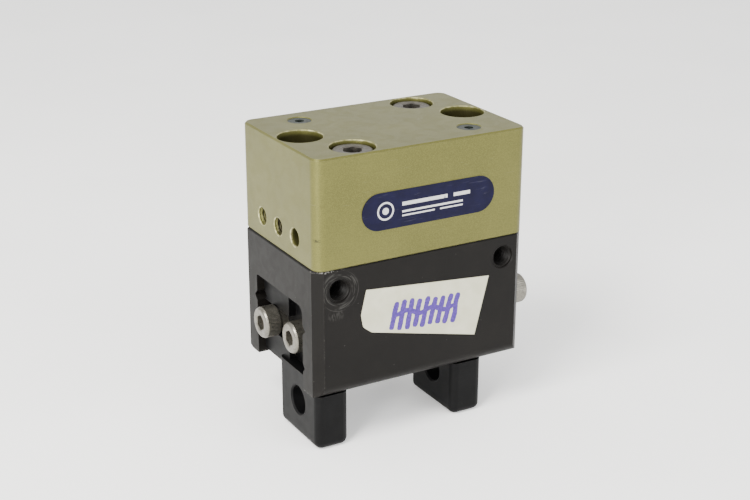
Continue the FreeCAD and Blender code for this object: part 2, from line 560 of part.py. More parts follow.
def finger(name, sign, outer):
    """End plate screwed to the base jaw, with the finger that reaches out below the body."""
    body = new_body(name + "_finger")
    sketch = new_sketch(body, "YZ_Plane", f"{sign} * dims.jaw_outer")
    add_polygon(sketch, jaw_section("plate_foot_drop"))
    pad(body, sketch, "dims.plate_face - dims.jaw_outer", backwards=sign < 0)
    pads = new_sketch(body, "YZ_Plane", f"{sign} * (dims.plate_face - dims.sink)")
    inner_y, outer_y = "-dims.pad_edge_y", "dims.jaw_half"
    add_rectangle(pads, inner_y, outer_y, below_seam("plate_foot_drop"), below_seam("groove_foot_drop"))
    race_cut = "(dims.race_drop + dims.race_depth - dims.groove_top_drop)"
    add_polygon(pads, [
        (inner_y, below_seam("groove_top_drop")), (f"{outer_y} - {race_cut}", below_seam("groove_top_drop")),
        (f"{outer_y} - dims.race_depth", below_seam("race_drop")),
        (outer_y, f"{below_seam('race_drop')} + dims.race_depth"),
        (outer_y, below_seam("jaw_top_drop")), (inner_y, below_seam("jaw_top_drop"))])
    pad(body, pads, "dims.pad_face - dims.plate_face + dims.sink", backwards=sign < 0)

    inner = f"({outer} - dims.finger_thickness)"
    tip = below_seam("finger_tip_drop")
    reach = new_sketch(body, "XZ_Plane", "dims.finger_back_y")
    add_rectangle(reach, f"{sign} * {inner}", f"{sign} * {outer}", tip, below_seam("shelf_drop"))
    pad(body, reach, "dims.finger_front_y - dims.finger_back_y")
    neck = new_sketch(body, "XZ_Plane", "dims.finger_back_y")
    neck_top = "lip_top_drop" if sign < 0 else "plate_foot_drop"
    add_rectangle(neck, f"{sign} * {inner}", f"{sign} * {outer}",
                  f"{below_seam('shelf_drop')} - dims.sink", below_seam(neck_top))
    pad(body, neck, "dims.jaw_half - dims.finger_back_y")
    if sign > 0:
        foot = new_sketch(body, "XZ_Plane")
        add_rectangle(foot, inner, "dims.plate_face", below_seam("plate_foot_drop"),
                      f"{below_seam('jaw_foot_drop')} - dims.overlap")
        pad(body, foot, "2 * dims.jaw_half", symmetric=True)

    centres = [("-dims.screw_y", below_seam("screw_drop")), ("dims.screw_y", below_seam("screw_drop"))]
    drill(body, "YZ_Plane", f"{sign} * dims.pad_face", centres, "dims.end_clearance",
          "dims.pad_face - dims.jaw_outer + dims.overcut", backwards=sign < 0)
    hole = [("-dims.grip_hole_y", below_seam("grip_hole_drop"))]
    drill(body, "YZ_Plane", f"{sign} * {outer}", hole, "dims.grip_hole_radius",
          "dims.finger_thickness + dims.overlap", backwards=sign < 0)

    tip_z = -sheet.head_height - sheet.finger_tip_drop
    outer_x = sign * sheet.getPropertyByName(f"{name}_finger_outer")
    for level in (outer_x, outer_x - sign * sheet.finger_thickness):
        dress(body, "Chamfer", "dims.grip_hole_break",
              lambda e: is_rim(e, "x", level, [sheet.grip_hole_radius]))
    dress(body, "Fillet", "dims.finger_edge",
          lambda e: is_upright(e) and abs(e.BoundBox.ZMin - tip_z) < CLOSE)
    dress(body, "Fillet", "dims.finger_tip_edge", lambda e: abs(e.BoundBox.ZMax - tip_z) < CLOSE)


def end_screws(name, sign):
    """The two screws in the jaw's end. The right jaw's front one is left standing proud."""
    turn = Rotation(Vector(0, 1, 0), 90 * sign)
    z = below_seam("screw_drop")
    front_seat = "dims.plate_face" if sign < 0 else "dims.proud_seat"
    front_length = SCREW_LENGTHS["short_end" if sign < 0 else "proud_end"]
    cap_screw(name + "_front_screw", "small", front_length, f"{sign} * {front_seat}", "-dims.screw_y", z,
              turn)
    cap_screw(name + "_rear_screw", "small", SCREW_LENGTHS["end"], f"{sign} * dims.pad_face",
              "dims.screw_y", z, turn)
    outside = cylinder(name + "_washer_disc", "dims.washer_radius",
                       "dims.pad_face - dims.plate_face - dims.fit_gap")
    inside = cylinder(name + "_washer_hole", "dims.washer_bore", "dims.pad_face - dims.plate_face")
    washer = keep(cut(name + "_lock_washer", outside, inside), name + "_lock_washer")
    place(washer, f"{sign} * (dims.plate_face + dims.fit_gap / 2)", "dims.screw_y", z, turn)


def roller_set(name, sign, face, side):
    """One flat cage in the gap beside a base jaw, with its crossed rollers."""
    race = below_seam("race_drop")
    middle = f"{side} * (dims.slot_half + dims.jaw_half) / 2"
    cage = new_body(f"{name}_{face}_cage")
    sketch = new_sketch(cage, "XZ_Plane", f"-({middle})")
    add_rectangle(sketch, f"{sign} * dims.cage_start", f"{sign} * (dims.cage_start + dims.cage_length)",
                  f"{race} - dims.cage_half_height", f"{race} + dims.cage_half_height")
    for i in range(ROLLERS_PER_CAGE):
        centre = f"{sign} * (dims.roller_first + {i} * dims.roller_pitch)"
        add_rectangle(sketch, f"{centre} - dims.window_width / 2", f"{centre} + dims.window_width / 2",
                      f"{race} - dims.window_height / 2", f"{race} + dims.window_height / 2")
    pad(cage, sketch, "dims.cage_thickness", symmetric=True)

    rollers = []
    for i in range(ROLLERS_PER_CAGE):
        lean = 45 if i % 2 else -45
        half = f"{math.sqrt(0.5):.6f} * dims.roller_length / 2"
        roller = cylinder(f"{name}_{face}_roller_{i}", "dims.roller_diameter / 2", "dims.roller_length",
                          f"{sign} * (dims.roller_first + {i} * dims.roller_pitch)",
                          f"{middle} {'+' if lean > 0 else '-'} {half}", f"{race} - {half}",
                          Rotation(Vector(1, 0, 0), lean))
        rollers.append(roller)
    group = doc.addObject("Part::Compound", f"{name}_{face}_rollers")
    group.Links = rollers
    place(keep(group, f"{name}_{face}_rollers"))


# ---------------------------------------------------------------- fasteners and labels
def housing_fasteners():
    for face, side in FACES:
        cap_screw(f"housing_screw_{face}", "large", SCREW_LENGTHS["tie"], f"{side} * dims.tie_x",
                  f"{side} * dims.tie_y", "-dims.tie_recess_depth")
        screw = cylinder(f"channel_plug_{face}_body", "dims.plug_radius", "dims.plug_length")
        socket = doc.addObject("Part::Prism", f"channel_plug_{face}_socket")
        socket.Polygon = 6
        socket.Circumradius = PLUG_KEY / math.sqrt(3)
        socket.Height = PLUG_KEY_DEPTH
        place(socket, z=f"dims.plug_length - {PLUG_KEY_DEPTH}")
        plug = keep(cut(f"channel_plug_{face}", screw, socket), f"channel_plug_{face}")
        place(plug, f"{-side} * dims.plug_x", f"{side} * dims.plug_y",
              "-dims.plug_length - dims.plug_set_in")
    for name, sign in SIDES:
        pin = cylinder(f"dowel_pin_{name}", "dims.pin_radius", "2 * dims.pin_half",
                       f"{sign} * dims.pin_x", "dims.pin_y", f"{SEAM} - dims.pin_half")
        keep(pin, f"dowel_pin_{name}")


def name_plate():
    """Thin stadium-shaped plate on the front of the cylinder housing."""
    low, high = f"({SEAM} + dims.plate_low_rise)", f"({SEAM} + dims.plate_high_rise)"
    end = "((dims.plate_high_rise - dims.plate_low_rise) / 2)"
    front = "-dims.head_width / 2"
    straight = box("name_plate_middle",
                   (f"dims.plate_left + dims.plate_right - 2 * {end}", "dims.plate_thickness",
                    "dims.plate_high_rise - dims.plate_low_rise"),
                   (f"-dims.plate_left + {end}", f"{front} - dims.plate_thickness", low))
    turn = Rotation(Vector(1, 0, 0), 90)
    middle = f"({low} + {high}) / 2"
    ends = [cylinder(f"name_plate_end_{i}", end, "dims.plate_thickness", x, front, middle, turn)
            for i, x in enumerate((f"-dims.plate_left + {end}", f"dims.plate_right - {end}"))]
    keep(joined("name_plate", [straight] + ends), "name_plate")


def inventory_sticker():
    """Hand-cut paper sticker on the front of the guide housing."""
    body = new_body("inventory_sticker")
    sketch = new_sketch(body, "XZ_Plane", "dims.head_width / 2")
    add_polygon(sketch, [(str(x), f"{SEAM} - {drop}") for x, drop in STICKER])
    pad(body, sketch, "dims.sticker_thickness")
    dress(body, "Fillet", "dims.sticker_corner",
          lambda e: spans(e)[1] > CLOSE and spans(e)[0] < CLOSE
          and e.BoundBox.XMax < STICKER_ROUNDED_LEFT_OF
          and e.BoundBox.ZMax < -sheet.head_height - STICKER_ROUNDED_BELOW)


cylinder_housing()
guide_housing()
inner_cylinder_parts()
piston_parts()
for side_name, side_sign in SIDES:
    base_jaw(side_name, side_sign)
    finger(side_name, side_sign, f"dims.{side_name}_finger_outer")
    end_screws(side_name, side_sign)
    for face_name, face_sign in FACES:
        roller_set(side_name, side_sign, face_name, face_sign)
housing_fasteners()
name_plate()
inventory_sticker()
doc.recompute()

for item in doc.Objects:
    if "Invalid" in item.State or "Error" in item.State:
        raise RuntimeError(f"{item.Label} failed: {item.State}")
for part in SUB_PARTS:
    if part.Shape.isNull() or not part.Shape.isValid() or not part.Shape.Solids:
        raise RuntimeError(f"{part.Label} has no valid solid")

os.makedirs("parts", exist_ok=True)
for part in SUB_PARTS:
    part.Shape.exportStep(f"parts/{part.Label}.step")
    extent = part.Shape.BoundBox
    print(f"{part.Label}: {len(part.Shape.Solids)} solid(s), {part.Shape.Volume:.1f} mm3, "
          f"X {extent.XMin:.2f}..{extent.XMax:.2f} Y {extent.YMin:.2f}..{extent.YMax:.2f} "
          f"Z {extent.ZMin:.2f}..{extent.ZMax:.2f}")
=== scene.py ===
"""Looks of the two-jaw pneumatic gripper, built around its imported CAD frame. Metres throughout."""

import json
import math
import random

import bmesh
import bpy
from mathutils import Matrix, Vector


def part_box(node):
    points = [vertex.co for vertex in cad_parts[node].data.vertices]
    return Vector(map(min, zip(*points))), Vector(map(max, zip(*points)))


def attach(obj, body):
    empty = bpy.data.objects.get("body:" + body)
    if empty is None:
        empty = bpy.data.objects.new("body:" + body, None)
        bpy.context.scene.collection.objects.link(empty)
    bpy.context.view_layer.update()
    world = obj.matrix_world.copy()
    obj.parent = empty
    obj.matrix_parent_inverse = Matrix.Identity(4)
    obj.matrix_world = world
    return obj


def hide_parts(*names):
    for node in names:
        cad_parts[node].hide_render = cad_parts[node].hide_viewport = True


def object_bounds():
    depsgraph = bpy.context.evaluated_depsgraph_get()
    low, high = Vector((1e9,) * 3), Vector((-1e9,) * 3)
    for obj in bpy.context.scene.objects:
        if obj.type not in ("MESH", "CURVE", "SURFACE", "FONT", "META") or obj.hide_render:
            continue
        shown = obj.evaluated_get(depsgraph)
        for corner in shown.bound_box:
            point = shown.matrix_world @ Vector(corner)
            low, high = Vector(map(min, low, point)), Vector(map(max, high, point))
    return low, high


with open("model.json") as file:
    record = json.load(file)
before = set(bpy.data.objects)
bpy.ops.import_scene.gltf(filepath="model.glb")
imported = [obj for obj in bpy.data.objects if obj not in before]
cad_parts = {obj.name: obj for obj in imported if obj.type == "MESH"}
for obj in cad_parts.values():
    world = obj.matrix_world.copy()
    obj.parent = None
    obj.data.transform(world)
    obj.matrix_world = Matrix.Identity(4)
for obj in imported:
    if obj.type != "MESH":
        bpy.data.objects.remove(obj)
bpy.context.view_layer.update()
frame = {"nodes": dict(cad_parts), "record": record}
random.seed(7)

MM = 0.001
WHITE = (1.0, 1.0, 0.99, 1.0)
MOUNTS = {mount["name"]: mount for mount in frame["record"]["mounts"]}
SLOT_OF = {row["node"]: row["material_slot"] for row in frame["record"]["subparts"]}


# ------------------------------------------------------------------ node helpers
class Shade:
    """One material's node tree, with short calls for the nodes that this scene uses."""

    def __init__(self, name):
        self.material = bpy.data.materials.new(name)
        self.material.use_nodes = True
        self.tree = self.material.node_tree
        self.bsdf = next(n for n in self.tree.nodes if n.type == "BSDF_PRINCIPLED")
        coordinates = self.tree.nodes.new("ShaderNodeTexCoord")
        self.place = self.scaled(coordinates.outputs["Object"], (1 / MM,) * 3)
        geometry = self.tree.nodes.new("ShaderNodeNewGeometry")
        self.true_normal = geometry.outputs["True Normal"]
        split = self.tree.nodes.new("ShaderNodeSeparateXYZ")
        self.link(self.place, split.inputs[0])
        self.x, self.y, self.z = split.outputs

    def link(self, source, target):
        if hasattr(source, "is_output"):
            self.tree.links.new(source, target)
        else:
            target.default_value = source

    def scaled(self, vector, scale):
        node = self.tree.nodes.new("ShaderNodeMapping")
        self.link(vector, node.inputs["Vector"])
        node.inputs["Scale"].default_value = scale
        return node.outputs[0]

    def math(self, operation, first, second=0.0):
        node = self.tree.nodes.new("ShaderNodeMath")
        node.operation = operation
        self.link(first, node.inputs[0])
        self.link(second, node.inputs[1])
        return node.outputs[0]

    def ramp(self, value, start, end, low=0.0, high=1.0):
        """Smooth change from low at start to high at end."""
        node = self.tree.nodes.new("ShaderNodeMapRange")
        node.interpolation_type = "SMOOTHSTEP"
        self.link(value, node.inputs["Value"])
        for name, number in (("From Min", start), ("From Max", end), ("To Min", low), ("To Max", high)):
            node.inputs[name].default_value = number
        return node.outputs[0]

    def noise(self, scale, detail=3.0, stretch=None, distortion=0.0, at=None):
        """Noise of about 1/scale mm, from 0 to 1."""
        node = self.tree.nodes.new("ShaderNodeTexNoise")
        place = at or self.place
        self.link(self.scaled(place, stretch) if stretch else place, node.inputs["Vector"])
        node.inputs["Scale"].default_value = scale
        node.inputs["Detail"].default_value = detail
        node.inputs["Distortion"].default_value = distortion
        return node.outputs["Fac"]

    def specks(self, scale, size):
        """Small round dots, one in each cell of 1/scale mm, of size as a share of the cell."""
        node = self.tree.nodes.new("ShaderNodeTexVoronoi")
        self.link(self.place, node.inputs["Vector"])
        node.inputs["Scale"].default_value = scale
        dots = self.ramp(node.outputs["Distance"], size, size * 0.4)
        split = self.tree.nodes.new("ShaderNodeSeparateColor")
        self.link(node.outputs["Color"], split.inputs[0])
        return self.math("MULTIPLY", dots, self.ramp(split.outputs[0], 0.45, 0.8))

    def edges(self, radius, low=0.985, high=0.86):
        """1 at an edge and 0 on flat or gently curved surface."""
        node = self.tree.nodes.new("ShaderNodeBevel")
        node.samples = 6
        node.inputs["Radius"].default_value = radius * MM
        dot = self.tree.nodes.new("ShaderNodeVectorMath")
        dot.operation = "DOT_PRODUCT"
        self.link(node.outputs[0], dot.inputs[0])
        self.link(self.true_normal, dot.inputs[1])
        return self.ramp(dot.outputs["Value"], low, high)

    def band(self, value, low, high, soft=0.05):
        """1 where the value is between low and high."""
        rise = self.ramp(value, low - soft, low + soft)
        return self.math("MULTIPLY", rise, self.ramp(value, high + soft, high - soft))

    def all_of(self, *masks):
        result = masks[0]
        for mask in masks[1:]:
            result = self.math("MULTIPLY", result, mask)
        return result

    def any_of(self, *masks):
        result = masks[0]
        for mask in masks[1:]:
            result = self.math("MAXIMUM", result, mask)
        return result

    def facing(self, axis, sign):
        """1 on faces that look along an axis."""
        split = self.tree.nodes.new("ShaderNodeSeparateXYZ")
        self.link(self.true_normal, split.inputs[0])
        return self.ramp(self.math("MULTIPLY", split.outputs["XYZ".index(axis)], sign), 0.9, 0.97)

    def distance(self, x, up, flat=False):
        """Distance in mm from a point in the XZ plane, or in the XY plane if flat is set."""
        across = self.math("SUBTRACT", self.x, x)
        up = self.math("SUBTRACT", self.y if flat else self.z, up)
        return self.length(across, up)

    def length(self, across, up):
        square = self.math("ADD", self.math("MULTIPLY", across, across), self.math("MULTIPLY", up, up))
        return self.math("SQRT", square)

    def streaks_round(self, x, z):
        """Noise drawn out along circles round a point in the XZ plane."""
        turn = self.math("ARCTAN2", self.math("SUBTRACT", self.z, z), self.math("SUBTRACT", self.x, x))
        node = self.tree.nodes.new("ShaderNodeCombineXYZ")
        self.link(self.math("MULTIPLY", turn, 1.1), node.inputs[0])
        self.link(self.math("MULTIPLY", self.distance(x, z), 4.5), node.inputs[1])
        return self.noise(1.0, 5, at=node.outputs[0])

    def mix(self, factor, first, second):
        node = self.tree.nodes.new("ShaderNodeMix")
        node.data_type = "RGBA"
        self.link(factor, node.inputs["Factor"])
        for socket, colour in (("A", first), ("B", second)):
            target = next(i for i in node.inputs if i.name == socket and i.type == "RGBA")
            self.link(colour if hasattr(colour, "is_output") else (*colour, 1.0), target)
        return next(o for o in node.outputs if o.type == "RGBA")

    def finish(self, colour, roughness, metallic=0.0, bump=None, strength=0.2, depth=0.02, **sockets):
        """Connects colour and roughness, a height for the bump, and uniform numbers on the shader."""
        self.link(colour, self.bsdf.inputs["Base Color"])
        self.link(roughness, self.bsdf.inputs["Roughness"])
        self.link(metallic, self.bsdf.inputs["Metallic"])
        for name, value in sockets.items():
            self.bsdf.inputs[name.replace("_", " ")].default_value = value
        if bump is not None:
            node = self.tree.nodes.new("ShaderNodeBump")
            node.inputs["Strength"].default_value = strength
            node.inputs["Distance"].default_value = depth * MM
            self.link(bump, node.inputs["Height"])
            self.link(node.outputs[0], self.bsdf.inputs["Normal"])
        return self.material


def tone(colour, factor):
    return tuple(channel * factor for channel in colour)


# ------------------------------------------------------------------ materials
CHAMPAGNE = (0.099, 0.096, 0.0265)
BLACK = (0.0034, 0.0029, 0.0025)
JAW_BLACK = (0.0020, 0.0020, 0.0022)
BARE = (0.26, 0.25, 0.22)
NICK_RISE = 5.3
PORT_PITCH = 6.0
PORT_RIM = 1.62


def anodised_body():
    s = Shade("anodised_body")
    low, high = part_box("cylinder_housing")
    cloud = s.noise(0.12, 4)
    grain = s.noise(6.5, 4)
    brushed = s.noise(1.4, 4, stretch=(0.35, 0.35, 5.0))
    lines = s.ramp(s.noise(0.9, 4, stretch=(0.25, 0.25, 5.0), distortion=0.4), 0.66, 0.74)
    colour = s.mix(s.ramp(cloud, 0.3, 0.7), tone(CHAMPAGNE, 0.92), tone(CHAMPAGNE, 1.08))
    colour = s.mix(s.math("MULTIPLY", s.ramp(brushed, 0.35, 0.7), 0.35), colour, tone(CHAMPAGNE, 0.80))
    colour = s.mix(s.math("MULTIPLY", s.ramp(grain, 0.42, 0.64), 0.60), colour, tone(CHAMPAGNE, 1.42))
    colour = s.mix(s.math("MULTIPLY", lines, 0.10), colour, BARE)
    rub = s.math("MULTIPLY", s.edges(0.22), s.ramp(s.noise(1.3, 5), 0.42, 0.7, 0.10, 0.65))
    colour = s.mix(rub, colour, (0.24, 0.235, 0.13))
    colour = s.mix(s.math("MULTIPLY", s.specks(0.33, 0.055), 0.5), colour, (0.03, 0.028, 0.018))
    nick_z = low.z / MM + NICK_RISE
    nick = s.all_of(s.band(s.z, nick_z - 0.22, nick_z + 0.22, 0.12),
                    s.band(s.x, low.x / MM + 0.1, low.x / MM + 0.9, 0.15),
                    s.ramp(s.y, low.y / MM + 1.4, low.y / MM + 0.9), s.ramp(s.noise(2.4, 3), 0.34, 0.46))
    colour = s.mix(s.math("MULTIPLY", nick, 0.75), colour, (0.02, 0.018, 0.012))
    seats = MOUNTS["sleeve_seats"]["dims"]
    holes = [(sign * seats["spacing_x_mm"] / 2, 0.0) for sign in (-1, 1)]
    for screw in ("housing_screw_front", "housing_screw_rear"):
        screw_low, screw_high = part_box(screw)
        holes.append(((screw_low.x + screw_high.x) / 2 / MM, (screw_low.y + screw_high.y) / 2 / MM))
    bore = seats["hole_r_mm"]
    # Painted shade: the walls of the seats and screw holes darken below the top face, standing in for the
    # shade inside them.
    painted_bore_shade = s.any_of(*[s.ramp(s.distance(x, y, flat=True), bore + 0.3, bore + 0.1) for x, y in holes])
    painted_bore_shade = s.math("MULTIPLY", painted_bore_shade, s.ramp(s.z, high.z / MM - 0.35, high.z / MM - 1.1))
    colour = s.mix(s.math("MULTIPLY", painted_bore_shade, 0.80), colour, (0.016, 0.013, 0.004))
    port_z = MOUNTS["air_port_middle"]["pos_m"][2] / MM
    ports, port_rims = [], []
    for y in (-PORT_PITCH, 0.0, PORT_PITCH):
        across, up = s.math("SUBTRACT", s.y, y), s.math("SUBTRACT", s.z, port_z)
        away = s.length(across, up)
        ports.append(s.ramp(away, PORT_RIM + 0.12, PORT_RIM))
        port_rims.append(s.band(away, PORT_RIM - 0.10, PORT_RIM + 0.08, 0.04))
    # Painted shade: the three air ports darken inside, past their mouths in the left end face.
    painted_port_shade = s.math("MULTIPLY", s.any_of(*ports), s.ramp(s.x, low.x / MM + 0.25, low.x / MM + 0.9))
    painted_port_shade = s.math("MULTIPLY", painted_port_shade, s.ramp(s.x, low.x / MM + 9.0, low.x / MM + 8.0))
    colour = s.mix(s.math("MULTIPLY", painted_port_shade, 0.75), colour, (0.014, 0.012, 0.004))
    # Lighter rings on the port and seat rims: worn edges, and in part a painted highlight, brighter than
    # the bare metal.
    worn_and_highlit_rims = s.math("MULTIPLY", s.any_of(*port_rims), s.ramp(s.x, low.x / MM + 0.5, low.x / MM + 0.3))
    top_rims = s.any_of(*[s.band(s.distance(x, y, flat=True), bore, bore + 0.12, 0.04) for x, y in holes])
    top_rims = s.math("MULTIPLY", top_rims, s.ramp(s.z, high.z / MM - 0.4, high.z / MM - 0.2))
    worn_and_highlit_rims = s.math("MULTIPLY", s.any_of(worn_and_highlit_rims, top_rims), s.ramp(s.noise(1.1, 4), 0.35, 0.65, 0.15, 0.8))
    colour = s.mix(worn_and_highlit_rims, colour, (0.42, 0.40, 0.22))
    smear = s.ramp(s.noise(0.35, 5, distortion=1.0), 0.35, 0.7, 0.38, 0.44)
    return s.finish(colour, smear, metallic=0.60, bump=grain, strength=0.25, depth=0.012,
                    Specular_IOR_Level=0.3)


def black_body():
    s = Shade("black_body")
    low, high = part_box("guide_housing")
    corner_x, seam, foot = low.x / MM, high.z / MM, low.z / MM
    threads = MOUNTS["side_threads"]
    hole_x = threads["pos_m"][0] / MM - threads["dims"]["spacing_x_mm"] / 2
    hole_z = threads["pos_m"][2] / MM
    front = s.facing("Y", -1)
    cloud = s.noise(0.15, 4)
    grain = s.noise(8.0, 2)
    colour = s.mix(s.ramp(cloud, 0.3, 0.7), tone(BLACK, 0.85), tone(BLACK, 1.25))
    colour = s.mix(s.math("MULTIPLY", s.ramp(grain, 0.35, 0.75), 0.35), colour, tone(BLACK, 2.1))

    broken = s.ramp(s.noise(2.2, 5), 0.46, 0.64)
    fine_broken = s.ramp(s.noise(4.5, 4), 0.50, 0.62)
    rub = s.all_of(s.edges(0.16), broken, s.ramp(s.noise(0.3, 3), 0.35, 0.65, 0.05, 0.6))
    seam_rub = s.all_of(s.band(s.z, seam - 0.30, seam + 0.1, 0.06),
                        s.ramp(s.x, corner_x + 6.5, corner_x + 2.0),
                        s.ramp(s.y, low.y / MM + 2.2, low.y / MM + 1.4), fine_broken)
    corner_line = s.all_of(s.band(s.x, corner_x + 1.42, corner_x + 1.56, 0.06),
                           s.ramp(s.z, seam - 4.0, foot + 5.0, 0.25, 1.0),
                           s.ramp(s.noise(3.4, 6, distortion=1.2), 0.52, 0.64),
                           s.ramp(s.noise(0.5, 3), 0.38, 0.62, 0.25, 1.0),
                           s.ramp(s.y, low.y / MM + 0.4, low.y / MM + 0.2))
    foot_line = s.all_of(s.band(s.z, foot - 0.05, foot + 0.30, 0.08),
                         s.ramp(s.x, corner_x + 5.0, corner_x + 2.0), fine_broken)
    foot_band = s.all_of(s.band(s.z, foot - 0.2, foot + 1.1, 0.35),
                         s.ramp(s.noise(0.9, 4), 0.3, 0.7, 0.5, 1.0))
    around = s.distance(hole_x, hole_z)
    swirl = s.ramp(s.streaks_round(hole_x, hole_z), 0.50, 0.62)
    ring = s.all_of(front, s.band(around, 2.15, 3.5, 0.35), swirl)
    patch = s.all_of(front, s.band(s.x, hole_x - 1.9, hole_x + 0.6, 0.5),
                     s.band(s.z, hole_z - 4.8, hole_z - 3.1, 0.5),
                     s.ramp(s.noise(2.0, 5, stretch=(2.6, 1.0, 0.5), distortion=0.5), 0.46, 0.60),
                     s.ramp(s.noise(0.45, 4, distortion=1.5), 0.36, 0.58))
    hairlines = s.ramp(s.noise(0.8, 5, stretch=(5.0, 1.0, 0.3), distortion=0.5), 0.66, 0.76)
    dust = s.specks(0.75, 0.055)
    for mask, amount, shade in (
            (hairlines, 0.10, (0.030, 0.029, 0.027)), (foot_band, 0.10, (0.030, 0.029, 0.027)),
            (patch, 0.55, (0.040, 0.039, 0.036)),
            (ring, 0.60, (0.042, 0.041, 0.038)), (rub, 0.45, (0.045, 0.044, 0.042)),
            (seam_rub, 0.80, (0.16, 0.155, 0.145)), (corner_line, 0.45, (0.10, 0.097, 0.090)),
            (foot_line, 0.50, (0.09, 0.088, 0.080)), (dust, 0.55, (0.14, 0.135, 0.125))):
        colour = s.mix(s.math("MULTIPLY", mask, amount), colour, shade)
    rough = s.ramp(s.noise(0.4, 5, distortion=1.0), 0.3, 0.7, 0.43, 0.48)
    return s.finish(colour, rough, bump=grain, strength=0.30, depth=0.014, Specular_IOR_Level=0.11)


def black_jaw():
    s = Shade("black_jaw")
    grain = s.noise(7.0, 2)
    colour = s.mix(s.ramp(s.noise(0.25, 4), 0.3, 0.7), tone(JAW_BLACK, 0.8), tone(JAW_BLACK, 1.4))
    milled = s.ramp(s.noise(1.0, 3, stretch=(0.4, 0.4, 7.0)), 0.55, 0.75)
    colour = s.mix(s.math("MULTIPLY", milled, 0.12), colour, (0.02, 0.02, 0.02))
    rub = s.math("MULTIPLY", s.edges(0.25), s.ramp(s.noise(1.6, 5), 0.40, 0.65, 0.05, 0.55))
    colour = s.mix(rub, colour, (0.028, 0.0275, 0.027))
    colour = s.mix(s.math("MULTIPLY", s.specks(0.75, 0.055), 0.45), colour, (0.12, 0.117, 0.11))
    rough = s.ramp(s.noise(0.5, 4), 0.3, 0.7, 0.43, 0.49)
    return s.finish(colour, rough, bump=grain, strength=0.25, depth=0.010, Specular_IOR_Level=0.09)


def steel(name, colour, rough, grain_stretch=(1.0, 1.0, 1.0), stain=0.3):
    """Bare or blued steel: fine tool marks, faint stains and brighter edges."""
    s = Shade(name)
    marks = s.noise(5.0, 3, stretch=grain_stretch)
    spots = s.ramp(s.noise(0.8, 5, distortion=0.8), 0.48, 0.75)
    base = s.mix(s.ramp(marks, 0.3, 0.7), tone(colour, 0.85), tone(colour, 1.12))
    base = s.mix(s.math("MULTIPLY", spots, stain), base, tone(colour, 0.45))
    base = s.mix(s.math("MULTIPLY", s.edges(0.12), 0.45), base, tone(colour, 1.5))
    roughness = s.ramp(s.noise(1.4, 4), 0.3, 0.7, rough, rough + 0.14)
    return s.finish(base, roughness, metallic=0.92, bump=marks, strength=0.15, depth=0.008)


def soft_material(name, colour, low, high, depth=0.01):
    """Rubber, filled plastic or ferrite: mottled and matt."""
    s = Shade(name)
    mottle = s.noise(3.5, 4)
    base = s.mix(s.ramp(mottle, 0.3, 0.7), tone(colour, 0.8), tone(colour, 1.2))
    rough = s.ramp(s.noise(1.1, 3), 0.3, 0.7, low, high)
    return s.finish(base, rough, bump=mottle, strength=0.3, depth=depth)


# Bars on the name plate: start from its left end, length, rise from its middle, thickness
LABEL_BARS = ((7.4, 8.6, 0.75, 0.62), (7.4, 11.6, -0.55, 0.34), (7.4, 6.2, -1.25, 0.26),
              (14.6, 4.4, -1.25, 0.26), (17.2, 3.2, 0.75, 0.62))


def name_plate():
    """Printed foil: indigo ground with plain pale bars and rings, which stand for no mark or text."""
    s = Shade("name_plate")
    low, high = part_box("name_plate")
    left = low.x / MM
    middle = (low.z + high.z) / 2 / MM
    ground = s.mix(s.ramp(s.noise(0.6, 4), 0.3, 0.7), (0.0015, 0.0012, 0.0130), (0.0024, 0.0021, 0.0180))
    dial = s.distance(left + 4.3, middle)
    rings = s.any_of(s.band(dial, 1.25, 1.55, 0.03), s.ramp(dial, 0.62, 0.55))
    marks = [rings]
    for start, length, rise, thick in LABEL_BARS:
        marks.append(s.all_of(s.band(s.x, left + start, left + start + length, 0.03),
                              s.band(s.z, middle + rise - thick / 2, middle + rise + thick / 2, 0.03)))
    worn = s.ramp(s.noise(1.8, 5), 0.22, 0.40)
    colour = s.mix(s.math("MULTIPLY", s.any_of(*marks), worn), ground, (0.46, 0.46, 0.46))
    scuff = s.ramp(s.noise(1.0, 5, stretch=(0.3, 1.0, 4.0), distortion=0.7), 0.62, 0.74)
    colour = s.mix(s.math("MULTIPLY", scuff, 0.15), colour, (0.10, 0.10, 0.14))
    rough = s.ramp(s.noise(0.7, 4), 0.3, 0.7, 0.30, 0.40)
    return s.finish(colour, rough, bump=s.noise(0.8, 2), strength=0.12, depth=0.03, Specular_IOR_Level=0.12)


def sticker_paper():
    s = Shade("sticker_paper")
    fibres = s.noise(3.2, 5, stretch=(1.0, 1.0, 2.2))
    colour = s.mix(s.ramp(s.noise(0.35, 4), 0.3, 0.7), (0.42, 0.41, 0.295), (0.48, 0.47, 0.355))
    colour = s.mix(s.math("MULTIPLY", s.ramp(fibres, 0.55, 0.8), 0.25), colour, (0.37, 0.36, 0.28))
    colour = s.mix(s.math("MULTIPLY", s.edges(0.3), 0.45), colour, (0.26, 0.25, 0.20))
    colour = s.mix(s.math("MULTIPLY", s.specks(0.5, 0.06), 0.35), colour, (0.14, 0.13, 0.11))
    return s.finish(colour, s.ramp(fibres, 0.3, 0.7, 0.62, 0.78), bump=fibres, strength=0.25, depth=0.02)


def marker_ink():
    s = Shade("marker_ink")
    colour = s.mix(s.ramp(s.noise(2.5, 4), 0.35, 0.7), (0.026, 0.004, 0.145), (0.055, 0.013, 0.23))
    return s.finish(colour, s.ramp(s.noise(3.0, 3), 0.3, 0.7, 0.45, 0.60))


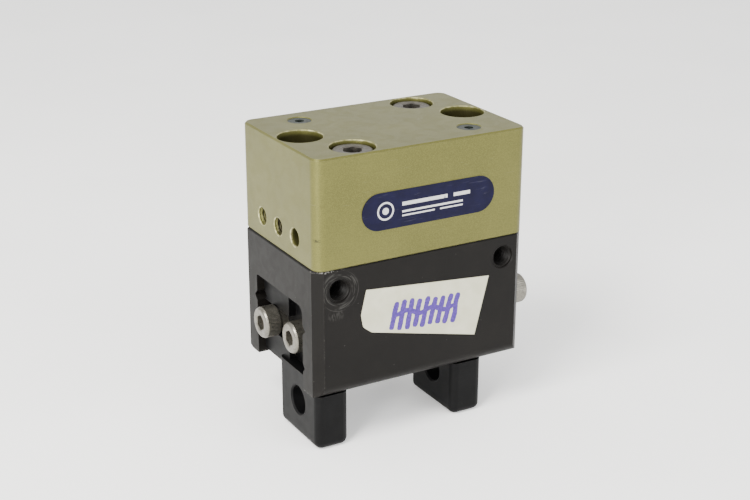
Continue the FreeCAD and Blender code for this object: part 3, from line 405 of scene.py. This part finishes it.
MATERIALS = {
    "anodised_body": anodised_body(),
    "black_body": black_body(),
    "black_jaw": black_jaw(),
    "screw_steel": steel("screw_steel", (0.188, 0.178, 0.152), 0.27, stain=0.55),
    "tool_steel": steel("tool_steel", (0.055, 0.055, 0.057), 0.32, (0.3, 3.0, 3.0), stain=0.2),
    "dark_steel": steel("dark_steel", (0.105, 0.096, 0.082), 0.36, stain=0.7),
    "cylinder_aluminium": steel("cylinder_aluminium", (0.32, 0.32, 0.325), 0.30, (3.0, 3.0, 0.5),
                                stain=0.15),
    "seal_rubber": soft_material("seal_rubber", (0.010, 0.010, 0.010), 0.55, 0.70),
    "guide_plastic": soft_material("guide_plastic", (0.50, 0.45, 0.35), 0.50, 0.62),
    "magnet": soft_material("magnet", (0.09, 0.09, 0.10), 0.50, 0.66),
    "name_plate": name_plate(),
    "sticker_paper": sticker_paper(),
}
for node_name, obj in frame["nodes"].items():
    obj.data.materials.clear()
    obj.data.materials.append(MATERIALS[SLOT_OF[node_name]])
sealant = steel("plug_sealant", (0.046, 0.055, 0.050), 0.42, stain=0.9)
for node_name in ("channel_plug_front", "channel_plug_rear"):
    frame["nodes"][node_name].data.materials[0] = sealant


# ------------------------------------------------------------------ mesh helpers
def add_piece(name, mesh, material, body, smooth=True):
    for polygon in mesh.polygons:
        polygon.use_smooth = smooth
    piece = bpy.data.objects.new(name, mesh)
    bpy.context.scene.collection.objects.link(piece)
    piece.data.materials.append(material)
    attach(piece, body)
    return piece


def pointing(direction, origin):
    """Matrix that turns local +Z to a direction, at an origin."""
    turn = Vector((0, 0, 1)).rotation_difference(Vector(direction)).to_matrix().to_4x4()
    return Matrix.Translation(Vector(origin)) @ turn


def polar_mesh(name, rows, columns, matrix, closed_loop=False):
    """Surface of rings. Each row is (height, radius as a function of the angle), in mm.

    The first and last rows close on a point, or on each other if closed_loop is set.
    """
    mesh = bmesh.new()
    rings = []
    for height, radius in rows:
        ring = []
        for column in range(columns):
            angle = 2 * math.pi * column / columns
            size = radius(angle)
            point = Vector((size * math.cos(angle), size * math.sin(angle), height)) * MM
            ring.append(mesh.verts.new(matrix @ point))
        rings.append(ring)
    pairs = list(zip(rings, rings[1:]))
    if closed_loop:
        pairs.append((rings[-1], rings[0]))
    for lower, upper in pairs:
        for i in range(columns):
            j = (i + 1) % columns
            mesh.faces.new((lower[i], lower[j], upper[j], upper[i]))
    if not closed_loop:
        for ring in (rings[0], rings[-1]):
            centre = mesh.verts.new(sum((v.co for v in ring), Vector()) / columns)
            for i in range(columns):
                mesh.faces.new((ring[i], ring[(i + 1) % columns], centre))
    bmesh.ops.recalc_face_normals(mesh, faces=mesh.faces)
    data = bpy.data.meshes.new(name)
    mesh.to_mesh(data)
    mesh.free()
    return data


def steady(size):
    return lambda angle: size


def helix(size, depth, pitch, height):
    """Radius of a V thread at a height: size at the crest, less by depth at the root."""
    def radius(angle):
        turn = (height / pitch - angle / (2 * math.pi)) % 1.0
        return size - depth * abs(2 * turn - 1)
    return radius


def hexagon(across_flats):
    def radius(angle):
        from_flat = (angle % (math.pi / 3)) - math.pi / 6
        return across_flats / 2 / math.cos(from_flat)
    return radius


def knurl(size, depth, teeth):
    return lambda angle: size - depth * (0.5 + 0.5 * math.cos(teeth * angle))


# ------------------------------------------------------------------ screws
M3_PITCH = 0.5
M4_PITCH = 0.7
M5_PITCH = 0.8
TEETH = 48
TOOTH_DEPTH = 0.045
SCREW_COLUMNS = 192


def cap_screw(node, direction, body, key, pitch, shank, slot_name):
    """Socket head cap screw with a knurled head and a cut thread, in place of a plain CAD one."""
    low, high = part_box(node)
    axis = Vector(direction)
    middle = (low + high) / 2
    half = abs((high - low).dot(axis)) / 2
    tip = middle - axis * half
    total = 2 * half / MM
    head_radius = max((high - low)[i] for i in range(3) if abs(axis[i]) < 0.5) / 2 / MM
    head_height = 2 * shank
    under = total - head_height
    rows = [(0.0, steady(shank - 0.45)), (0.35, steady(shank - 0.2))]
    thread_depth = 0.54 * pitch
    height = 0.4
    while height < under - 0.4:
        rows.append((height, helix(shank - 0.01, thread_depth, pitch, height)))
        height += pitch / 6
    rows += [
        (under - 0.3, steady(shank - 0.02)), (under, steady(shank - 0.02)),
        (under, steady(head_radius - 0.25)), (under + 0.12, steady(head_radius - 0.10)),
        (under + 0.25, knurl(head_radius - 0.01, TOOTH_DEPTH, TEETH)),
        (total - 0.50, knurl(head_radius - 0.01, TOOTH_DEPTH, TEETH)),
        (total - 0.36, steady(head_radius - 0.09)), (total - 0.16, steady(head_radius - 0.20)),
        (total - 0.04, steady(head_radius - 0.36)), (total, steady(head_radius - 0.52)),
        (total, steady(key * 0.64)), (total - 0.13, hexagon(key)),
        (total - head_height * 0.50, hexagon(key)), (total - head_height * 0.51, hexagon(key * 0.97)),
        (total - head_height * 0.60, steady(0.15)),
    ]
    mesh = polar_mesh(node + "_detail", rows, SCREW_COLUMNS, pointing(axis, tip))
    piece = add_piece(node + "_detail", mesh, MATERIALS[slot_name], body, smooth=False)
    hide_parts(node)


for side, sign in (("left", -1), ("right", 1)):
    for face in ("front", "rear"):
        cap_screw(f"{side}_{face}_screw", (sign, 0, 0), f"{side}_jaw", 2.5, M3_PITCH, 1.5, "screw_steel")
for face in ("front", "rear"):
    cap_screw(f"housing_screw_{face}", (0, 0, 1), "housing", 3.0, M4_PITCH, 2.0, "dark_steel")


# ------------------------------------------------------------------ threads in the tapped holes
THREAD_COLUMNS = 72
THREAD_START = 0.35
RINGS_PER_PITCH = 6


def hole_thread(name, mouth, direction, size, pitch, depth, slot_name):
    """Cut thread that lines a tapped hole. Its crests stand in from the wall."""
    count = int(depth / (pitch / RINGS_PER_PITCH))
    heights = [THREAD_START + (depth - THREAD_START) * i / count for i in range(count + 1)]
    inner = []
    for height in heights:
        ridge = helix(size - 0.015, 0.5 * pitch, pitch, height)
        inner.append((-height, ridge))
    outer = [(-heights[-1], steady(size + 0.03)), (-heights[0], steady(size + 0.03))]
    mesh = polar_mesh(name, inner + outer, THREAD_COLUMNS, pointing(direction, mouth), closed_loop=True)
    add_piece(name, mesh, MATERIALS[slot_name], "housing", smooth=False)


PORT_THREAD_DEPTH = 5.6
SIDE_THREAD_DEPTH = 7.6
SEAT_DEPTH = 5.2
SEAT_THREAD_RADIUS = 2.5
SEAT_THREAD_LENGTH = 7.2
head_low, head_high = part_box("cylinder_housing")
for port in ("air_port_rear", "air_port_middle"):
    mount = MOUNTS[port]
    mouth = (head_low.x, mount["pos_m"][1], mount["pos_m"][2])
    hole_thread(port + "_thread", mouth, (-1, 0, 0), mount["dims"]["r_mm"], M3_PITCH,
                PORT_THREAD_DEPTH, "anodised_body")
threads = MOUNTS["side_threads"]
for name, sign in (("left", -1), ("right", 1)):
    x = threads["pos_m"][0] + sign * threads["dims"]["spacing_x_mm"] / 2 * MM
    hole_thread(f"side_thread_{name}", (x, -head_high.y, threads["pos_m"][2]), (0, -1, 0),
                threads["dims"]["hole_r_mm"], M4_PITCH, SIDE_THREAD_DEPTH, "black_body")
    seat_x = sign * MOUNTS["sleeve_seats"]["dims"]["spacing_x_mm"] / 2 * MM
    hole_thread(f"seat_thread_{name}", (seat_x, 0, head_high.z - SEAT_DEPTH * MM), (0, 0, 1),
                SEAT_THREAD_RADIUS, M5_PITCH, SEAT_THREAD_LENGTH, "anodised_body")


# ------------------------------------------------------------------ marks on the sticker
STEPS_PER_SPAN = 8


def ink_stroke(name, points, width, lift=0.004):
    """Flat ribbon of ink on the sticker's face, along smooth steps between (x, z) points in mm."""
    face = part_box("inventory_sticker")[0].y
    path = []
    for i in range(len(points) - 1):
        before = Vector(points[max(i - 1, 0)])
        here, there = Vector(points[i]), Vector(points[i + 1])
        after = Vector(points[min(i + 2, len(points) - 1)])
        for step in range(STEPS_PER_SPAN):
            t = step / STEPS_PER_SPAN
            spot = 0.5 * ((2 * here) + (there - before) * t
                          + (2 * before - 5 * here + 4 * there - after) * t * t
                          + (3 * here - before - 3 * there + after) * t ** 3)
            path.append(spot)
    path.append(Vector(points[-1]))
    mesh = bmesh.new()
    rails = []
    for i, spot in enumerate(path):
        along = (path[min(i + 1, len(path) - 1)] - path[max(i - 1, 0)]).normalized()
        across = Vector((-along.y, along.x))
        share = min(1.0, 0.55 + 6 * i / len(path), 0.45 + 6 * (len(path) - 1 - i) / len(path))
        half = width / 2 * share * random.uniform(0.9, 1.08)
        rail = []
        for edge, rise in ((-1, lift), (1, lift), (1, -0.01), (-1, -0.01)):
            corner = spot + across * half * edge
            rail.append(mesh.verts.new((corner.x * MM, face - rise * MM, corner.y * MM)))
        rails.append(rail)
    for first, second in zip(rails, rails[1:]):
        for i in range(4):
            j = (i + 1) % 4
            mesh.faces.new((first[i], first[j], second[j], second[i]))
    mesh.faces.new(rails[0])
    mesh.faces.new(rails[-1])
    bmesh.ops.recalc_face_normals(mesh, faces=mesh.faces)
    data = bpy.data.meshes.new(name)
    mesh.to_mesh(data)
    mesh.free()
    add_piece(name, data, INK, "housing", smooth=False)


INK = marker_ink()
sticker_low, sticker_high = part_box("inventory_sticker")
sticker_x = (sticker_low.x + sticker_high.x) / 2 / MM
sticker_z = (sticker_low.z + sticker_high.z) / 2 / MM
STROKES = 9
STROKE_WIDTH = 1.0
CROSSING_POINTS = 6
CROSSING_WIDTH = 0.85
for i in range(STROKES):
    x = sticker_x - 6.2 + 1.5 * i
    z = sticker_z + 0.6 - 0.12 * i
    lean = random.uniform(0.5, 0.8)
    reach = random.uniform(2.3, 2.9)
    bow = random.uniform(0.05, 0.25)
    ink_stroke(f"sticker_stroke_{i}", [(x - lean, z - reach), (x - bow, z - 0.3 * reach),
                                       (x + bow, z + 0.4 * reach), (x + lean, z + reach)], STROKE_WIDTH)
crossing = []
for i in range(CROSSING_POINTS):
    rise = 0.5 if i % 2 else -0.5
    swing = rise * random.uniform(0.7, 1.2)
    crossing.append((sticker_x - 6.0 + 2.4 * i, sticker_z - 0.22 * i + 1.0 + swing))
ink_stroke("sticker_crossing", crossing, CROSSING_WIDTH, lift=0.008)


# ------------------------------------------------------------------ floor, lights and camera
def floor_material():
    s = Shade("floor_white")
    colour = s.mix(s.ramp(s.noise(0.02, 3), 0.3, 0.7), (0.90, 0.90, 0.895), (0.93, 0.93, 0.925))
    return s.finish(colour, s.ramp(s.noise(0.05, 3), 0.3, 0.7, 0.75, 0.9),
                    Emission_Color=WHITE, Emission_Strength=0.25)


floor_mesh = bpy.data.meshes.new("floor")
floor_half = 1.5
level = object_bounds()[0][2] - 0.00001
floor_corners = [(x * floor_half, y * floor_half, level) for x, y in ((-1, -1), (1, -1), (1, 1), (-1, 1))]
floor_mesh.from_pydata(floor_corners, [], [(0, 1, 2, 3)])
floor = bpy.data.objects.new("floor", floor_mesh)
bpy.context.scene.collection.objects.link(floor)
floor.data.materials.append(floor_material())

world = bpy.data.worlds.new("studio")
world.use_nodes = True
backdrop = next(n for n in world.node_tree.nodes if n.type == "BACKGROUND")
backdrop.inputs["Color"].default_value = (1.0, 0.995, 0.98, 1.0)
backdrop.inputs["Strength"].default_value = 1.5
bpy.context.scene.world = world


def area_light(name, position, target, size, power, colour):
    light = bpy.data.lights.new(name, "AREA")
    light.shape = "RECTANGLE"
    light.size, light.size_y = size
    light.energy = power
    light.color = colour
    lamp = bpy.data.objects.new(name, light)
    lamp.location = position
    lamp.rotation_euler = (Vector(target) - Vector(position)).to_track_quat("-Z", "Y").to_euler()
    bpy.context.scene.collection.objects.link(lamp)


centre = (0.0, 0.0, -0.02)
area_light("key", (-0.30, -0.12, 0.34), centre, (0.20, 0.20), 4.0, (1.0, 0.98, 0.94))
area_light("edge", (-0.36, -0.25, 0.06), centre, (0.10, 0.16), 2.0, (1.0, 0.99, 0.96))
area_light("fill", (0.22, -0.42, 0.20), centre, (0.35, 0.35), 1.6, (0.96, 0.98, 1.0))

CAMERA_LENS = 68.85
CAMERA_ROLL = 0.00235
camera_data = bpy.data.cameras.new("camera")
camera_data.sensor_width = 36.0
camera_data.lens = CAMERA_LENS
camera_data.clip_start = 0.01
camera = bpy.data.objects.new("camera", camera_data)
bpy.context.scene.collection.objects.link(camera)
camera_place = Vector((-0.11647, -0.20138, 0.06513))
camera_aim = Vector((-0.00158, 0.0, -0.02243))
turn = (camera_aim - camera_place).to_track_quat("-Z", "Y").to_matrix().to_4x4()
camera.matrix_world = Matrix.Translation(camera_place) @ turn @ Matrix.Rotation(CAMERA_ROLL, 4, "Z")
bpy.context.scene.camera = camera
